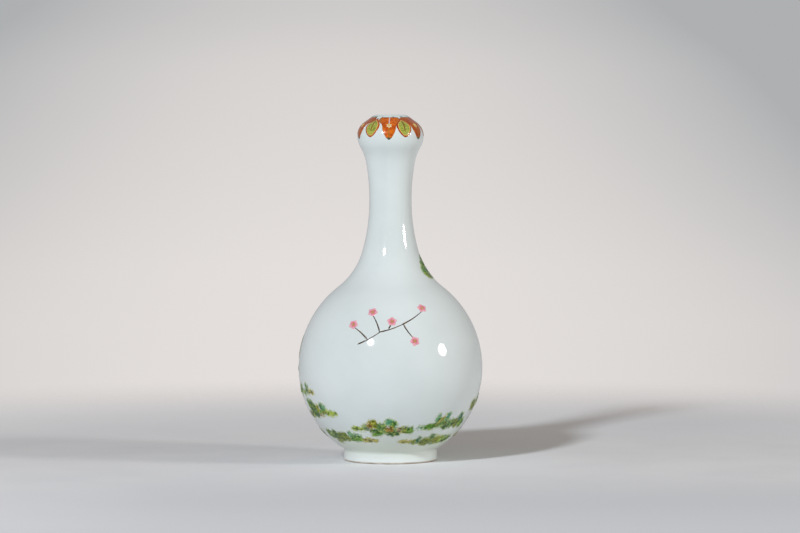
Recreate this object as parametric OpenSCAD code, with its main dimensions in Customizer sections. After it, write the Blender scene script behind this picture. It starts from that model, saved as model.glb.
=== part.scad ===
// Garlic head vase: thrown porcelain sections luted together with slip, glazed inside and out,
// and painted over the glaze with enamels. Millimetres, +Z up, the front faces -Y, and the
// origin is the centre of the ring that the foot stands on.

/* [Overall] */
// Height from the table to the top of the lip
vase_h = 200; // [180:1:245]
// Diameter at the widest place of the belly
belly_d = 106.6; // [88.6:0.2:130]

/* [Belly] */
// Height of the widest place of the belly
belly_z = 53.6; // [48:0.2:62]
// Curve of the belly's outline above the widest place
upper_belly_r = 59.6; // [56:0.1:66]
// Hollow curve from the belly's shoulder into the neck
shoulder_r = 40; // [30:0.5:48]

/* [Foot] */
// Outer diameter of the foot
foot_d = 54; // [44:0.1:64]
// Height of the crease between foot and belly
foot_h = 6.7; // [5.2:0.1:8]
// Width of the foot's wall with its glaze
foot_w = 3.6; // [2.6:0.1:5]
// Bevel along both edges of the foot's rim
foot_bevel = 0.5; // [0.3:0.1:0.9]
// Height of the unglazed strip above the table
bare_h = 0.9; // [0.6:0.1:1.5]
// Depth of the hollow under the base
recess_h = 4.2; // [3:0.1:4.6]

/* [Neck] */
// Diameter of the throat, the narrowest place
throat_d = 24.5; // [20:0.5:30]
// Height where the neck turns straight
throat_z = 150; // [142:0.5:152]
// Hollow curve of the neck below the throat
lower_neck_r = 104; // [98:1:130]
// Hollow curve of the neck above the throat
upper_neck_r = 116; // [90:1:150]
// Hollow curve under the garlic head
flare_r = 24; // [18:0.5:28]

/* [Garlic head] */
// Diameter of the head
head_d = 38.2; // [34:0.2:46]
// Height of the lip's top above the head's widest place
head_h = 12; // [10.5:0.1:14]
// Height of the head's widest place above the straight of the neck
throat_drop = 36; // [32:0.5:44]
// Curve of the head's outline below its widest place
head_low_r = 14.2; // [12:0.1:16]
// Curve of the head's outline above its widest place
head_top_r = 9.4; // [8:0.1:11]
// Slope of the head's top towards the lip, from level
head_slope = 36; // [30:1:42]

/* [Wall] */
// Thickness of the wall with both coats of glaze
wall = 2.6; // [2:0.1:3.2]
// Thickness of the base with both coats of glaze
floor_t = 3.8; // [3:0.1:5]
// Thickness of one coat of glaze
glaze = 0.3; // [0.2:0.05:0.4]
// Extra thickness of the rounded lip on each side
lip_swell = 0.1; // [0.05:0.01:0.2]

/* [Luting] */
// Thickness of the slip between two sections
slip = 0.5; // [0.3:0.1:0.8]
// How far slip stands out of a seam inside the vase
slip_proud = 0.15; // [0.1:0.05:0.18]

/* [Enamel] */
// Thickness of the enamel over the glaze
enamel = 0.2; // [0.15:0.05:0.3]
// Petals of each colour around the head
petal_count = 6; // [4:1:7]
// Turn of the first red petal from the front
petal_turn = -2.5; // [-15:0.5:15]
// Length of a green petal, seen from the side
green_petal_l = 10.4; // [8:0.1:11]
// Width of a green petal
green_petal_w = 8.2; // [5:0.1:9]
// Height of a green petal's middle above the head's widest place
green_petal_rise = 4.9; // [4:0.1:5.5]
// Length of a red petal below its widest place, seen from the side
red_petal_l = 9.7; // [8:0.1:10.5]
// Width of a red petal
red_petal_w = 9.6; // [6:0.1:10]
// Height of a red petal's widest place above the head's widest place
red_petal_rise = 8; // [6.5:0.1:9]
// Bare glaze between neighbouring petals
petal_gap = 0.4; // [0.2:0.1:0.8]
// Height of the enamel line under the lip
lip_line_h = 0.7; // [0.4:0.1:1]
// Height of a tuft of moss
moss_h = 5.5; // [3:0.5:7]
// Height of the tails at both ends of a tuft
moss_tail_h = 2.2; // [1:0.1:3]
// Height of the blossom twig's middle above the belly's widest place
twig_rise = 26; // [18:0.5:32]
// Width of the twig
twig_w = 1.1; // [0.6:0.1:1.6]
// Diameter of a blossom
blossom_d = 6; // [4:0.5:7]
// Length of a leaf of the spray
leaf_l = 13; // [9:0.5:16]
// Width of a leaf of the spray
leaf_w = 3; // [1.5:0.1:4]
// Angle between a leaf and its stem
leaf_spread = 48; // [30:1:70]
// Width of the spray's stem
stem_w = 1; // [0.6:0.1:1.4]

/* [Hidden] */
$fn = 180;

belly_r = belly_d / 2;
foot_r = foot_d / 2;
throat_r = throat_d / 2;
head_r = head_d / 2;
head_z = vase_h - head_h;
throat_top_z = head_z - throat_drop;
throat_low_z = min(throat_z, throat_top_z);

// Heights where two curves meet are kept to a thousandth, so that neighbours share one line
function to_micron(v) = round(v * 1000) / 1000;
function unit(v) = v / norm(v);

// Place where two circles cross, left of the line from the first centre to the second
function circles_cross(c1, r1, c2, r2) =
    let (span = norm(c2 - c1), way = unit(c2 - c1))
    let (along = (span * span + r1 * r1 - r2 * r2) / (2 * span))
    c1 + along * way + sqrt(r1 * r1 - along * along) * [-way[1], way[0]];

// Centres of the outline's arcs, each tangent to the next
function arc_through(dx, dz) = (dx * dx + dz * dz) / (2 * dx);
lower_belly_r = to_micron(arc_through(belly_r - foot_r, belly_z - foot_h));
lower_belly_c = [belly_r - lower_belly_r, belly_z];
upper_belly_c = [belly_r - upper_belly_r, belly_z];
lower_neck_c = [throat_r + lower_neck_r, throat_low_z];
upper_neck_c = [throat_r + upper_neck_r, throat_top_z];
head_low_c = [head_r - head_low_r, head_z];
head_top_c = [head_r - head_top_r, head_z];
shoulder_c = circles_cross(
    upper_belly_c, upper_belly_r + shoulder_r,
    lower_neck_c, lower_neck_r - shoulder_r
);
flare_c = circles_cross(
    upper_neck_c, upper_neck_r - flare_r,
    head_low_c, head_low_r + flare_r
);

// Outward directions and points where one curve turns into the next
belly_top_n = unit(shoulder_c - upper_belly_c);
belly_top = upper_belly_c + upper_belly_r * belly_top_n;
neck_low_n = unit(lower_neck_c - shoulder_c);
neck_low = shoulder_c - shoulder_r * neck_low_n;
flare_low_n = unit(upper_neck_c - flare_c);
flare_low = flare_c - flare_r * flare_low_n;
head_low_n = unit(flare_c - head_low_c);
head_low = head_low_c + head_low_r * head_low_n;
cone_n = [sin(head_slope), cos(head_slope)];
cone_low = head_top_c + head_top_r * cone_n;
function inset_z(p, n, inset) = to_micron(p[1] - inset * n[1]);

// Centre of the rounded lip, in the middle of the wall
lip_r = wall / 2 + lip_swell;
lip_z = vase_h - lip_r;
lip_c = [(cone_low * cone_n - wall / 2 - cone_n[1] * lip_z) / cone_n[0], lip_z];
function cone_top_z(inset) = to_micron(lip_z + (wall / 2 - inset) * cone_n[1]);

// Levels inside the base, and the faces of the foot's clay
floor_z = recess_h + floor_t;
base_z = recess_h + glaze;
foot_in = foot_r - foot_w + glaze;
foot_out = foot_r - glaze;
foot_top_z = foot_h + wall;

// Seams between the thrown sections
function seam_between(low, high) = round((low[1] + high[1]) / 2 * 10) / 10;
belly_seam_z = belly_z;
neck_seam_z = seam_between(belly_top, neck_low);
head_seam_z = seam_between(flare_low, head_low);
squeeze_h = 2 * slip;

// Enamel levels on the head
lip_line_z = lip_z - lip_line_h;
petal_step = 360 / petal_count;
// Degrees that the painter strayed from an even spacing, petal by petal
RED_STRAY = [0, 0, 0, -2, -5, -9];
GREEN_STRAY = [0, 2, -2, -3, -7, -5];
// Index counts round from the front petal, and -1 is the last one
function stray(strays, index) = strays[(index + petal_count) % petal_count % len(strays)];

// Tufts of moss, as turn from the front, rise above the crease and half length
TUFTS = [
    [-74, 35, 12], [-57, 24, 11], [-45, 10, 19], [-5, 16, 16], [42, 8, 17], [47, 18, 17], [84, 29, 7],
    [106, 11, 14], [116, 20, 11], [152, 9, 14], [179, 17, 17], [208, 9, 15], [238, 13, 12], [262, 10, 12]
];
// Tuft on the shoulder, as turn from the front, rise above the widest place and half length
SHOULDER_TUFT = [80, 57, 9];
// Sprays on the side and back, as turn and rise above the widest place of root and tip, and leaves
SPRAYS = [[152, -30, 120, 41, 11], [200, 40, 150, 56, 7], [216, -28, 276, 10, 7]];
// Pieces of the twig from end to end, and blossom places, from the middle of the twig
TWIGS = [
    [[-19, -9], [-5, -1]], [[-7, -2], [8, 3]], [[6, 2], [18, 10]], [[-6, -2], [-10, 8]], [[7, 3], [14, -6]],
    [[-13, -6], [-21, 1]], [[-1, 0], [1, 4]]
];
BLOSSOMS = [[-10, 9], [-21, 2], [1, 4], [14, -7], [18, 11]];

// Two moves, a coarse and a fine one, keep a centre exact to the last digit
module at(p) {
    coarse = [to_micron(p[0]), to_micron(p[1])];
    translate(coarse) translate(p - coarse) children();
}

module level_band(low, high) {
    translate([0, low]) square([belly_r + wall, high - low]);
}

// Half section between two levels, under an arc that swells out
module swelling(c, r, low, high) {
    intersection() {
        union() {
            at(c) circle(r);
            if (c[0] > 0) translate([0, low]) square([c[0], high - low]);
        }
        level_band(low, high);
    }
}

// Half section between two levels, under an arc that curves in
module waist(c, r, low, high) {
    difference() {
        translate([0, low]) square([c[0], high - low]);
        at(c) circle(r);
    }
}

// Half section of the head's sloping top
module sloping_top(inset, low) {
    start_x = head_top_c[0] + sqrt(pow(head_top_r - inset, 2) - pow(low - head_z, 2));
    rise = cone_top_z(inset) - low;
    core_x = lip_c[0] / 2;
    core_edge = core_x / 2 - start_x;
    translate([0, low]) square([core_x, rise]);
    at([start_x, low])
        polygon([[0, 0], [-rise / tan(head_slope), rise], [core_edge, rise], [core_edge, 0]]);
}

// Half section of everything inside the outline, drawn in by inset, from a level up to the lip
module filled(inset, low) {
    belly_top_z = inset_z(belly_top, belly_top_n, inset);
    neck_low_z = inset_z(neck_low, neck_low_n, inset);
    flare_low_z = inset_z(flare_low, flare_low_n, inset);
    head_low_z = inset_z(head_low, head_low_n, inset);
    cone_low_z = inset_z(cone_low, cone_n, inset);
    swelling(lower_belly_c, lower_belly_r - inset, low, belly_z);
    swelling(upper_belly_c, upper_belly_r - inset, belly_z, belly_top_z);
    waist(shoulder_c, shoulder_r + inset, belly_top_z, neck_low_z);
    waist(lower_neck_c, lower_neck_r + inset, neck_low_z, throat_low_z);
    if (throat_top_z > throat_low_z)
        translate([0, throat_low_z]) square([throat_r - inset, throat_top_z - throat_low_z]);
    waist(upper_neck_c, upper_neck_r + inset, throat_top_z, flare_low_z);
    waist(flare_c, flare_r + inset, flare_low_z, head_low_z);
    swelling(head_low_c, head_low_r - inset, head_low_z, head_z);
    swelling(head_top_c, head_top_r - inset, head_z, cone_low_z);
    sloping_top(inset, cone_low_z);
}

// Half section of the hollow inside a wall that is inset thick, open at the mouth
module hollow(inset) {
    difference() {
        union() {
            filled(inset, floor_z - (wall - inset));
            translate([0, cone_top_z(inset)]) square([lip_c[0], vase_h + wall - cone_top_z(inset)]);
        }
        at(lip_c) circle(inset - wall / 2 + lip_swell);
    }
}

// Half section of the outside with foot and lip, drawn in by inset
module outside(inset) {
    filled(inset, recess_h);
    square([foot_r - inset, foot_top_z]);
    at(lip_c) circle(lip_r - inset);
}

// Half section of the porcelain above the foot
module clay_wall() {
    difference() {
        union() {
            filled(glaze, base_z);
            at(lip_c) circle(lip_r - glaze);
        }
        hollow(wall - glaze);
    }
}

module clay_section(low, high) {
    rotate_extrude() intersection() {
        clay_wall();
        level_band(low, high);
    }
}

// Half section of the slip that stood out of a seam on the inside
module squeezed_slip(z) {
    intersection() {
        difference() {
            hollow(wall - glaze);
            hollow(wall - glaze + slip_proud);
        }
        level_band(z - squeeze_h / 2, z + squeeze_h / 2);
    }
}

module seam_slip(z) {
    rotate_extrude() {
        intersection() {
            clay_wall();
            level_band(z - slip / 2, z + slip / 2);
        }
        squeezed_slip(z);
    }
}

// Thin coat over the glaze between two levels
module enamel_coat(low, high) {
    rotate_extrude() intersection() {
        difference() {
            filled(-enamel, recess_h);
            filled(0, recess_h);
        }
        level_band(low, high);
    }
}

// Flat outline pushed outwards through the wall, turned from the front and raised
module push_out(turn, z) {
    rotate([0, 0, turn]) translate([0, 0, z]) rotate([90, 0, 0])
        linear_extrude(height = belly_r + wall) children();
}

// Upright pointed oval between two arcs
module pointed_oval(l, w) {
    r = (l * l + w * w) / (4 * w);
    intersection() {
        translate([w / 2 - r, 0]) circle(r, $fn = 1440);
        translate([r - w / 2, 0]) circle(r, $fn = 1440);
    }
}

// Pointed oval from one place to another
module stroke(from, to, w) {
    way = to - from;
    translate((from + to) / 2) rotate(atan2(way[1], way[0]) - 90) pointed_oval(norm(way), w);
}

module green_petal_prism(index, margin) {
    push_out(petal_turn + petal_step * (index + 0.5) + stray(GREEN_STRAY, index), head_z + green_petal_rise)
        pointed_oval(green_petal_l + 2 * margin, green_petal_w + 2 * margin);
}

// Low tuft with a bush in the middle, a smaller one on each side and thin tails
module tuft_outline(half_l) {
    tail_x = half_l - moss_tail_h / 2;
    side_bush_d = (moss_h + moss_tail_h) / 2;
    translate([-tail_x, -moss_tail_h / 2]) square([2 * tail_x, moss_tail_h]);
    for (side = [-1, 1]) {
        translate([side * tail_x, 0]) circle(moss_tail_h / 2);
        translate([side * tail_x / 2, 0]) circle(side_bush_d / 2);
    }
    circle(moss_h / 2);
}

// Turned ring under the belly, hollowed on top to seat it
module foot_ring() {
    color("antiquewhite") rotate_extrude() difference() {
        polygon([
            [foot_in, foot_bevel], [foot_in + foot_bevel, 0], [foot_out - foot_bevel, 0],
            [foot_out, foot_bevel], [foot_out, foot_top_z], [foot_in, foot_top_z]
        ]);
        filled(glaze - slip, base_z - slip);
    }
}

// Slip between the foot and the belly
module foot_slip() {
    color("tan") rotate_extrude() intersection() {
        difference() {
            filled(glaze - slip, base_z - slip);
            filled(glaze, base_z);
        }
        translate([foot_in, 0]) square([foot_out - foot_in, foot_top_z]);
    }
}

// Lower half of the belly with the base
module lower_bowl() {
    color("seashell") clay_section(base_z, belly_seam_z - slip / 2);
}

module belly_slip() {
    color("tan") seam_slip(belly_seam_z);
}

// Upper half of the belly up to the shoulder
module upper_bowl() {
    color("linen") clay_section(belly_seam_z + slip / 2, neck_seam_z - slip / 2);
}

module neck_slip() {
    color("tan") seam_slip(neck_seam_z);
}

module neck() {
    color("ivory") clay_section(neck_seam_z + slip / 2, head_seam_z - slip / 2);
}

module head_slip() {
    color("tan") seam_slip(head_seam_z);
}

// Bulb with the sloping top and the rounded lip
module garlic_head() {
    color("floralwhite") clay_section(head_seam_z + slip / 2, vase_h);
}

// Coat from the lip's crest down to the bare strip of the foot
module outer_glaze() {
    color("azure") rotate_extrude() difference() {
        outside(0);
        outside(glaze);
        level_band(0, bare_h);
        translate([0, lip_z]) square([lip_c[0], head_h]);
    }
}

// Coat from the lip's crest down to the floor inside
module inner_glaze() {
    color("lightcyan") rotate_extrude() difference() {
        hollow(wall - glaze);
        hollow(wall);
        for (z = [belly_seam_z, neck_seam_z, head_seam_z]) squeezed_slip(z);
    }
}

// Coat on the underside of the base and the inner face of the foot
module base_glaze() {
    color("azure") rotate_extrude() difference() {
        translate([0, bare_h]) square([foot_in, base_z - bare_h]);
        square([foot_in - glaze, recess_h]);
    }
}

module lip_line() {
    color("lightseagreen") enamel_coat(lip_line_z, lip_z);
}

// Broad red petals that run under the green ones
module red_petals() {
    color("orangered") for (index = [0 : petal_count - 1]) intersection() {
        difference() {
            push_out(petal_turn + petal_step * index + stray(RED_STRAY, index), head_z + red_petal_rise)
                pointed_oval(2 * red_petal_l, red_petal_w);
            green_petal_prism(index, petal_gap);
            green_petal_prism(index - 1, petal_gap);
        }
        enamel_coat(head_low[1], lip_line_z - petal_gap);
    }
}

module green_petals() {
    color("olivedrab") for (index = [0 : petal_count - 1]) intersection() {
        green_petal_prism(index, 0);
        enamel_coat(head_low[1], lip_line_z - petal_gap);
    }
}

// Low tufts of moss around the belly, and one on the shoulder
module moss_tufts() {
    color("forestgreen") {
        for (tuft = TUFTS) intersection() {
            push_out(tuft[0], foot_h + tuft[1]) tuft_outline(tuft[2]);
            enamel_coat(foot_top_z, belly_z);
        }
        intersection() {
            push_out(SHOULDER_TUFT[0], belly_z + SHOULDER_TUFT[1]) tuft_outline(SHOULDER_TUFT[2]);
            enamel_coat(belly_z, throat_low_z);
        }
    }
}

// Leaf and stretch of stem at one place of a spray, which leans from its root to its tip
module spray_step(spray, index) {
    share = (index + 0.5) / spray[4];
    turn = spray[0] + share * (spray[2] - spray[0]);
    rise = spray[1] + share * (spray[3] - spray[1]);
    stretch = [belly_r * PI / 180 * (spray[2] - spray[0]), spray[3] - spray[1]] / spray[4];
    lean = atan2(stretch[1], stretch[0]) - 90;
    side = index % 2 == 0 ? 1 : -1;
    push_out(turn, belly_z + rise) {
        stroke(-stretch / 2, stretch / 2, stem_w);
        rotate(lean + side * leaf_spread) translate([0, leaf_l / 2]) pointed_oval(leaf_l, leaf_w);
    }
}

// Leaves that climb the side and back towards the shoulder
module leaf_spray() {
    color("seagreen") for (spray = SPRAYS, index = [0 : spray[4] - 1]) intersection() {
        spray_step(spray, index);
        enamel_coat(foot_top_z, throat_low_z);
    }
}

module blossom_outlines() {
    for (place = BLOSSOMS) translate(place) {
        circle(blossom_d / 4);
        for (turn = [0 : 72 : 288]) rotate(turn) translate([0, blossom_d / 4]) circle(blossom_d / 4);
    }
}

// Dark twig on the front of the belly, broken where blossoms lie over it
module blossom_twig() {
    color("dimgray") intersection() {
        push_out(0, belly_z + twig_rise) difference() {
            for (twig = TWIGS) stroke(twig[0], twig[1], twig_w);
            blossom_outlines();
        }
        enamel_coat(belly_z, neck_low[1]);
    }
}

module blossoms() {
    color("hotpink") intersection() {
        push_out(0, belly_z + twig_rise) blossom_outlines();
        enamel_coat(belly_z, neck_low[1]);
    }
}

foot_ring();
foot_slip();
lower_bowl();
belly_slip();
upper_bowl();
neck_slip();
neck();
head_slip();
garlic_head();
outer_glaze();
inner_glaze();
base_glaze();
lip_line();
red_petals();
green_petals();
moss_tufts();
leaf_spray();
blossom_twig();
blossoms();
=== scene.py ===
import math
import random

import bmesh
import bpy
import numpy as np
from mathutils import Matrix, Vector


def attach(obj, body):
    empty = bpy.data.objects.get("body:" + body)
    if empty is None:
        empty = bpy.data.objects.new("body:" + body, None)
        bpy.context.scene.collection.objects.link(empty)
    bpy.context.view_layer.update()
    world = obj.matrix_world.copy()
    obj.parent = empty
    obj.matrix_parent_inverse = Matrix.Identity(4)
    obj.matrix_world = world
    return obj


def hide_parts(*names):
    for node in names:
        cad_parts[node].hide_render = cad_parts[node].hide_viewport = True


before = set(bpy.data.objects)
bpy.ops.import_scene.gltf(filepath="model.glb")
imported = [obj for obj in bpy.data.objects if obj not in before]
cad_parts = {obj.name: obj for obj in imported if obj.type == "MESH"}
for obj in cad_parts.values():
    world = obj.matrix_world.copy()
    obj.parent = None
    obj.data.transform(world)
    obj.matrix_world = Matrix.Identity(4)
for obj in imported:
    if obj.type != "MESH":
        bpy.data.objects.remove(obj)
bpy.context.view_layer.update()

# The thrown sections are white porcelain clay: a foot ring, two bowls, the neck and the garlic head.
# They are turned, luted together and fired. Only the rim of the foot stays bare, and the kiln
# burns it to a buff that is brownest along the edge of the glaze.
MM = 0.001
BARE_HEIGHT = 0.9 * MM


class Tone:
    """One socket of a material, so that shader maths is written as plain sums."""

    def __init__(self, tree, socket=None):
        self.tree = tree
        self.socket = socket

    def node(self, kind, settings=(), sockets=(), out=0):
        """Add a node: its settings are set first, then the values or links of its sockets."""
        made = self.tree.nodes.new("ShaderNode" + kind)
        for name, value in dict(settings).items():
            setattr(made, name, value)
        for name, value in dict(sockets).items():
            if isinstance(value, Tone):
                self.tree.links.new(value.socket, made.inputs[name])
            else:
                made.inputs[name].default_value = value
        return Tone(self.tree, made.outputs[out] if made.outputs else None)

    def maths(self, operation, *values):
        return self.node("Math", {"operation": operation}, enumerate(values))

    def __add__(self, other):
        return self.maths("ADD", self, other)

    __radd__ = __add__

    def __sub__(self, other):
        return self.maths("SUBTRACT", self, other)

    def __rsub__(self, other):
        return self.maths("SUBTRACT", other, self)

    def __mul__(self, other):
        return self.maths("MULTIPLY", self, other)

    __rmul__ = __mul__

    def __or__(self, other):
        return self.maths("MAXIMUM", self, other)

    def __abs__(self):
        return self.maths("ABSOLUTE", self)

    def ease(self, low, high):
        """Rise smoothly from 0 where this value is low to 1 where it is high."""
        return self.node("MapRange", {"interpolation_type": "SMOOTHSTEP"}, {0: self, 1: low, 2: high})

    def blend(self, under, over):
        """Colour that goes from under to over as this value goes from 0 to 1."""
        return self.node("Mix", {"data_type": "RGBA"}, {0: self, 6: under, 7: over}, out=2)

    def noise(self, place, size, detail=2):
        """Cloudy pattern whose patches are about size across."""
        return self.node("TexNoise", (), {"Vector": place, "Scale": 1 / size, "Detail": detail})


def srgb(red, green, blue):
    """Linear colour of a red, green and blue as the eye sees them, each up to 255."""
    seen = (red / 255, green / 255, blue / 255)
    return tuple(s / 12.92 if s <= 0.04045 else ((s + 0.055) / 1.055) ** 2.4 for s in seen) + (1,)


def start_material(name):
    material = bpy.data.materials.new(name)
    material.use_nodes = True
    material.node_tree.nodes.clear()
    return material, Tone(material.node_tree)


def end_material(tone, sockets):
    shader = tone.node("BsdfPrincipled", (), sockets)
    tone.node("OutputMaterial", (), {"Surface": shader})


def clay_material(name, pale, dull, burnt):
    """Matt fired clay, cloudy from pale to dull, burnt towards the edge of the glaze at the foot."""
    material, tone = start_material(name)
    place = tone.node("TexCoord", out="Object")
    height = tone.node("SeparateXYZ", (), {"Vector": place}, out="Z")
    clouds = tone.noise(place, 9 * MM, 4)
    grain = tone.noise(place, 0.35 * MM)
    scorch = height.ease(1.6 * BARE_HEIGHT, 0.2 * BARE_HEIGHT) * clouds.ease(0.1, 0.6)
    fired = clouds.ease(0.35, 0.7).blend(pale, dull)
    bumps = tone.node("Bump", (), {"Strength": 0.35, "Distance": 0.06 * MM, "Height": grain})
    end_material(tone, {
        "Base Color": scorch.blend(fired, burnt),
        "Roughness": 0.62 + 0.2 * grain,
        "Normal": bumps,
    })
    return material


clay = clay_material("fired_clay", srgb(236, 231, 221), srgb(219, 211, 197), srgb(164, 150, 134))
for name in ("foot_ring", "lower_bowl", "upper_bowl", "neck", "garlic_head"):
    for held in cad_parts[name].material_slots:
        held.material = clay

# Slip is clay thinned with water. It was brushed on each seam, squeezed out a little as the
# sections were pressed together, and fired with them.
slip = clay_material("fired_slip", srgb(226, 219, 206), srgb(205, 197, 182), srgb(160, 146, 128))
for name in ("foot_slip", "belly_slip", "neck_slip", "head_slip"):
    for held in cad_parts[name].material_slots:
        held.material = slip

# The outer glaze is one glassy coat from the bare rim of the foot, over the belly, neck and head,
# to the crest of the lip. It was dipped, so it is thick and greenish in the crease over the foot.
FOOT_R = 27 * MM
CREASE_Z = 6.7 * MM
CREASE_ROUND = 2.6 * MM
BELLY_R = 53.3 * MM
BELLY_Z = 53.6 * MM
UPPER_BELLY_ARC = 59.6 * MM
SHOULDER_ARC = 40 * MM
THROAT_R = 12.25 * MM
THROAT_LOW_Z = 150 * MM
THROAT_TOP_Z = 152 * MM
LOWER_NECK_ARC = 104 * MM
UPPER_NECK_ARC = 116 * MM
FLARE_ARC = 24 * MM
HEAD_R = 19.1 * MM
HEAD_Z = 188 * MM
HEAD_LOW_ARC = 14.2 * MM
HEAD_TOP_ARC = 9.4 * MM
HEAD_SLOPE = math.radians(36)
VASE_H = 200 * MM
WALL = 2.6 * MM
LIP_ARC = 1.4 * MM
GLAZE = 0.3 * MM
COAT = 0.8 * GLAZE
LIP_TURN_IN = math.radians(130)
CREASE_POOL = (1.5 * MM, 8.5 * MM, 24 * MM)
STEPS_AROUND = 192
SAME_PLACE = 0.002 * MM


def circles_cross(centre_a, radius_a, centre_b, radius_b):
    """Place where two circles cross, left of the line from the first centre to the second."""
    way = centre_b - centre_a
    along = (way.length_squared + radius_a ** 2 - radius_b ** 2) / (2 * way.length)
    left = Vector((-way.y, way.x)).normalized()
    return centre_a + along * way.normalized() + math.sqrt(radius_a ** 2 - along ** 2) * left


def facing(angle):
    return Vector((math.cos(angle), math.sin(angle)))


BELLY_SWELL = BELLY_R - FOOT_R
BELLY_LOW_RISE = BELLY_Z - CREASE_Z
LOWER_BELLY_ARC = (BELLY_SWELL ** 2 + BELLY_LOW_RISE ** 2) / (2 * BELLY_SWELL)
lower_belly = Vector((BELLY_R - LOWER_BELLY_ARC, BELLY_Z))
upper_belly = Vector((BELLY_R - UPPER_BELLY_ARC, BELLY_Z))
lower_neck = Vector((THROAT_R + LOWER_NECK_ARC, THROAT_LOW_Z))
upper_neck = Vector((THROAT_R + UPPER_NECK_ARC, THROAT_TOP_Z))
head_low = Vector((HEAD_R - HEAD_LOW_ARC, HEAD_Z))
head_top = Vector((HEAD_R - HEAD_TOP_ARC, HEAD_Z))
shoulder = circles_cross(
    upper_belly, UPPER_BELLY_ARC + SHOULDER_ARC, lower_neck, LOWER_NECK_ARC - SHOULDER_ARC
)
flare = circles_cross(upper_neck, UPPER_NECK_ARC - FLARE_ARC, head_low, HEAD_LOW_ARC + FLARE_ARC)
cone_out = facing(math.pi / 2 - HEAD_SLOPE)
cone_low = head_top + HEAD_TOP_ARC * cone_out
lip_z = VASE_H - LIP_ARC
lip = Vector(((cone_low.dot(cone_out) - WALL / 2 - cone_out.y * lip_z) / cone_out.x, lip_z))
lip_lean = math.acos(WALL / 2 / LIP_ARC)


def wall_runs(inset):
    """Arcs of the wall from the belly to the head's slope, as centre, or none if straight, and end."""
    return [
        (lower_belly, Vector((BELLY_R - inset, BELLY_Z))),
        (upper_belly, upper_belly + (UPPER_BELLY_ARC - inset) * (shoulder - upper_belly).normalized()),
        (shoulder, shoulder - (SHOULDER_ARC + inset) * (lower_neck - shoulder).normalized()),
        (lower_neck, Vector((THROAT_R - inset, THROAT_LOW_Z))),
        (None, Vector((THROAT_R - inset, THROAT_TOP_Z))),
        (upper_neck, flare - (FLARE_ARC + inset) * (upper_neck - flare).normalized()),
        (flare, head_low + (HEAD_LOW_ARC - inset) * (flare - head_low).normalized()),
        (head_low, Vector((HEAD_R - inset, HEAD_Z))),
        (head_top, head_top + (HEAD_TOP_ARC - inset) * cone_out),
    ]


def draw_runs(bm, start, runs, longest=2.4 * MM, sharpest=math.radians(6)):
    """Draw a half outline from start: each run is an arc about its centre, or straight, to its end."""
    bm.verts.new((start.x, 0, start.y))
    for centre, end in runs:
        bm.verts.ensure_lookup_table()
        last = bm.verts[-1]
        if centre is None:
            tip = bmesh.ops.extrude_vert_indiv(bm, verts=[last])["verts"][0]
            tip.co = (end.x, 0, end.y)
            continue
        out = Vector((last.co.x, last.co.z)) - centre
        sweep = (end - centre).angle_signed(out)
        steps = math.ceil(max(abs(sweep) * out.length / longest, abs(sweep) / sharpest))
        pivot = (centre.x, 0, centre.y)
        bmesh.ops.spin(bm, geom=[last], cent=pivot, axis=(0, 1, 0), angle=-sweep, steps=steps)


def turn_on_wheel(bm, thickness):
    """Spin a half outline about the vase's axis into a closed coat of a given thickness."""
    outline = bm.verts[:] + bm.edges[:]
    bmesh.ops.spin(
        bm, geom=outline, cent=(0, 0, 0), axis=(0, 0, 1), angle=2 * math.pi,
        steps=STEPS_AROUND, use_merge=True
    )
    bmesh.ops.remove_doubles(bm, verts=bm.verts[:], dist=SAME_PLACE)
    bmesh.ops.recalc_face_normals(bm, faces=bm.faces[:])
    bmesh.ops.solidify(bm, geom=bm.faces[:], thickness=thickness)


def finish_piece(bm, name, material, slot, *nodes):
    """Make a smooth piece that rides on the vase and stands for the named CAD nodes."""
    mesh = bpy.data.meshes.new(name)
    bm.to_mesh(mesh)
    bm.free()
    mesh.materials.append(material)
    mesh.shade_smooth()
    mesh.set_sharp_from_angle(angle=math.radians(50))
    piece = bpy.data.objects.new(name, mesh)
    bpy.context.scene.collection.objects.link(piece)
    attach(piece, "root")
    if nodes:
        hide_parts(*nodes)
    return piece


def glaze_material(name, pool):
    """Pale bluish glassy coat with faint throwing rings and a few specks, whiter below the pool, which is
    painted light thrown up from the table; pool is the height where the glaze turns thick and
    greenish, is thickest, and ends."""
    material, tone = start_material(name)
    start, thickest, end = pool
    place = tone.node("TexCoord", out="Object")
    height = tone.node("SeparateXYZ", (), {"Vector": place}, out="Z")
    patches = tone.noise(place, 38 * MM, 3)
    peel = tone.noise(place, 3.2 * MM)
    flat_rings = tone.node("Mapping", (), {"Vector": place, "Scale": (0.02, 0.02, 1)})
    rings = tone.noise(flat_rings, 4.5 * MM, 1)
    specks = tone.node("TexVoronoi", (), {"Vector": place, "Scale": 1 / (11 * MM)}, out="Distance")
    body = patches.ease(0.3, 0.7).blend(srgb(217, 225, 226), srgb(211, 220, 220))
    # Painted light: the glaze turns whiter towards the foot, for light thrown up from the table
    body = height.ease(thickest, start).blend(body, srgb(224, 231, 229))
    pooled = height.ease(start, thickest) * height.ease(end, thickest)
    body = pooled.blend(body, srgb(213, 220, 209))
    dotted = specks.ease(0.03, 0.015) * patches.ease(0.52, 0.6) * 0.5
    relief = peel * 0.6 + rings
    bumps = tone.node("Bump", (), {"Strength": 0.06, "Distance": 0.12 * MM, "Height": relief})
    end_material(tone, {
        "Base Color": dotted.blend(body, srgb(150, 138, 120)),
        "Roughness": 0.04 + 0.05 * peel,
        "IOR": 1.5,
        "Coat Weight": 0.25,
        "Coat Roughness": 0.03,
        "Normal": bumps,
    })
    return material


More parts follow.
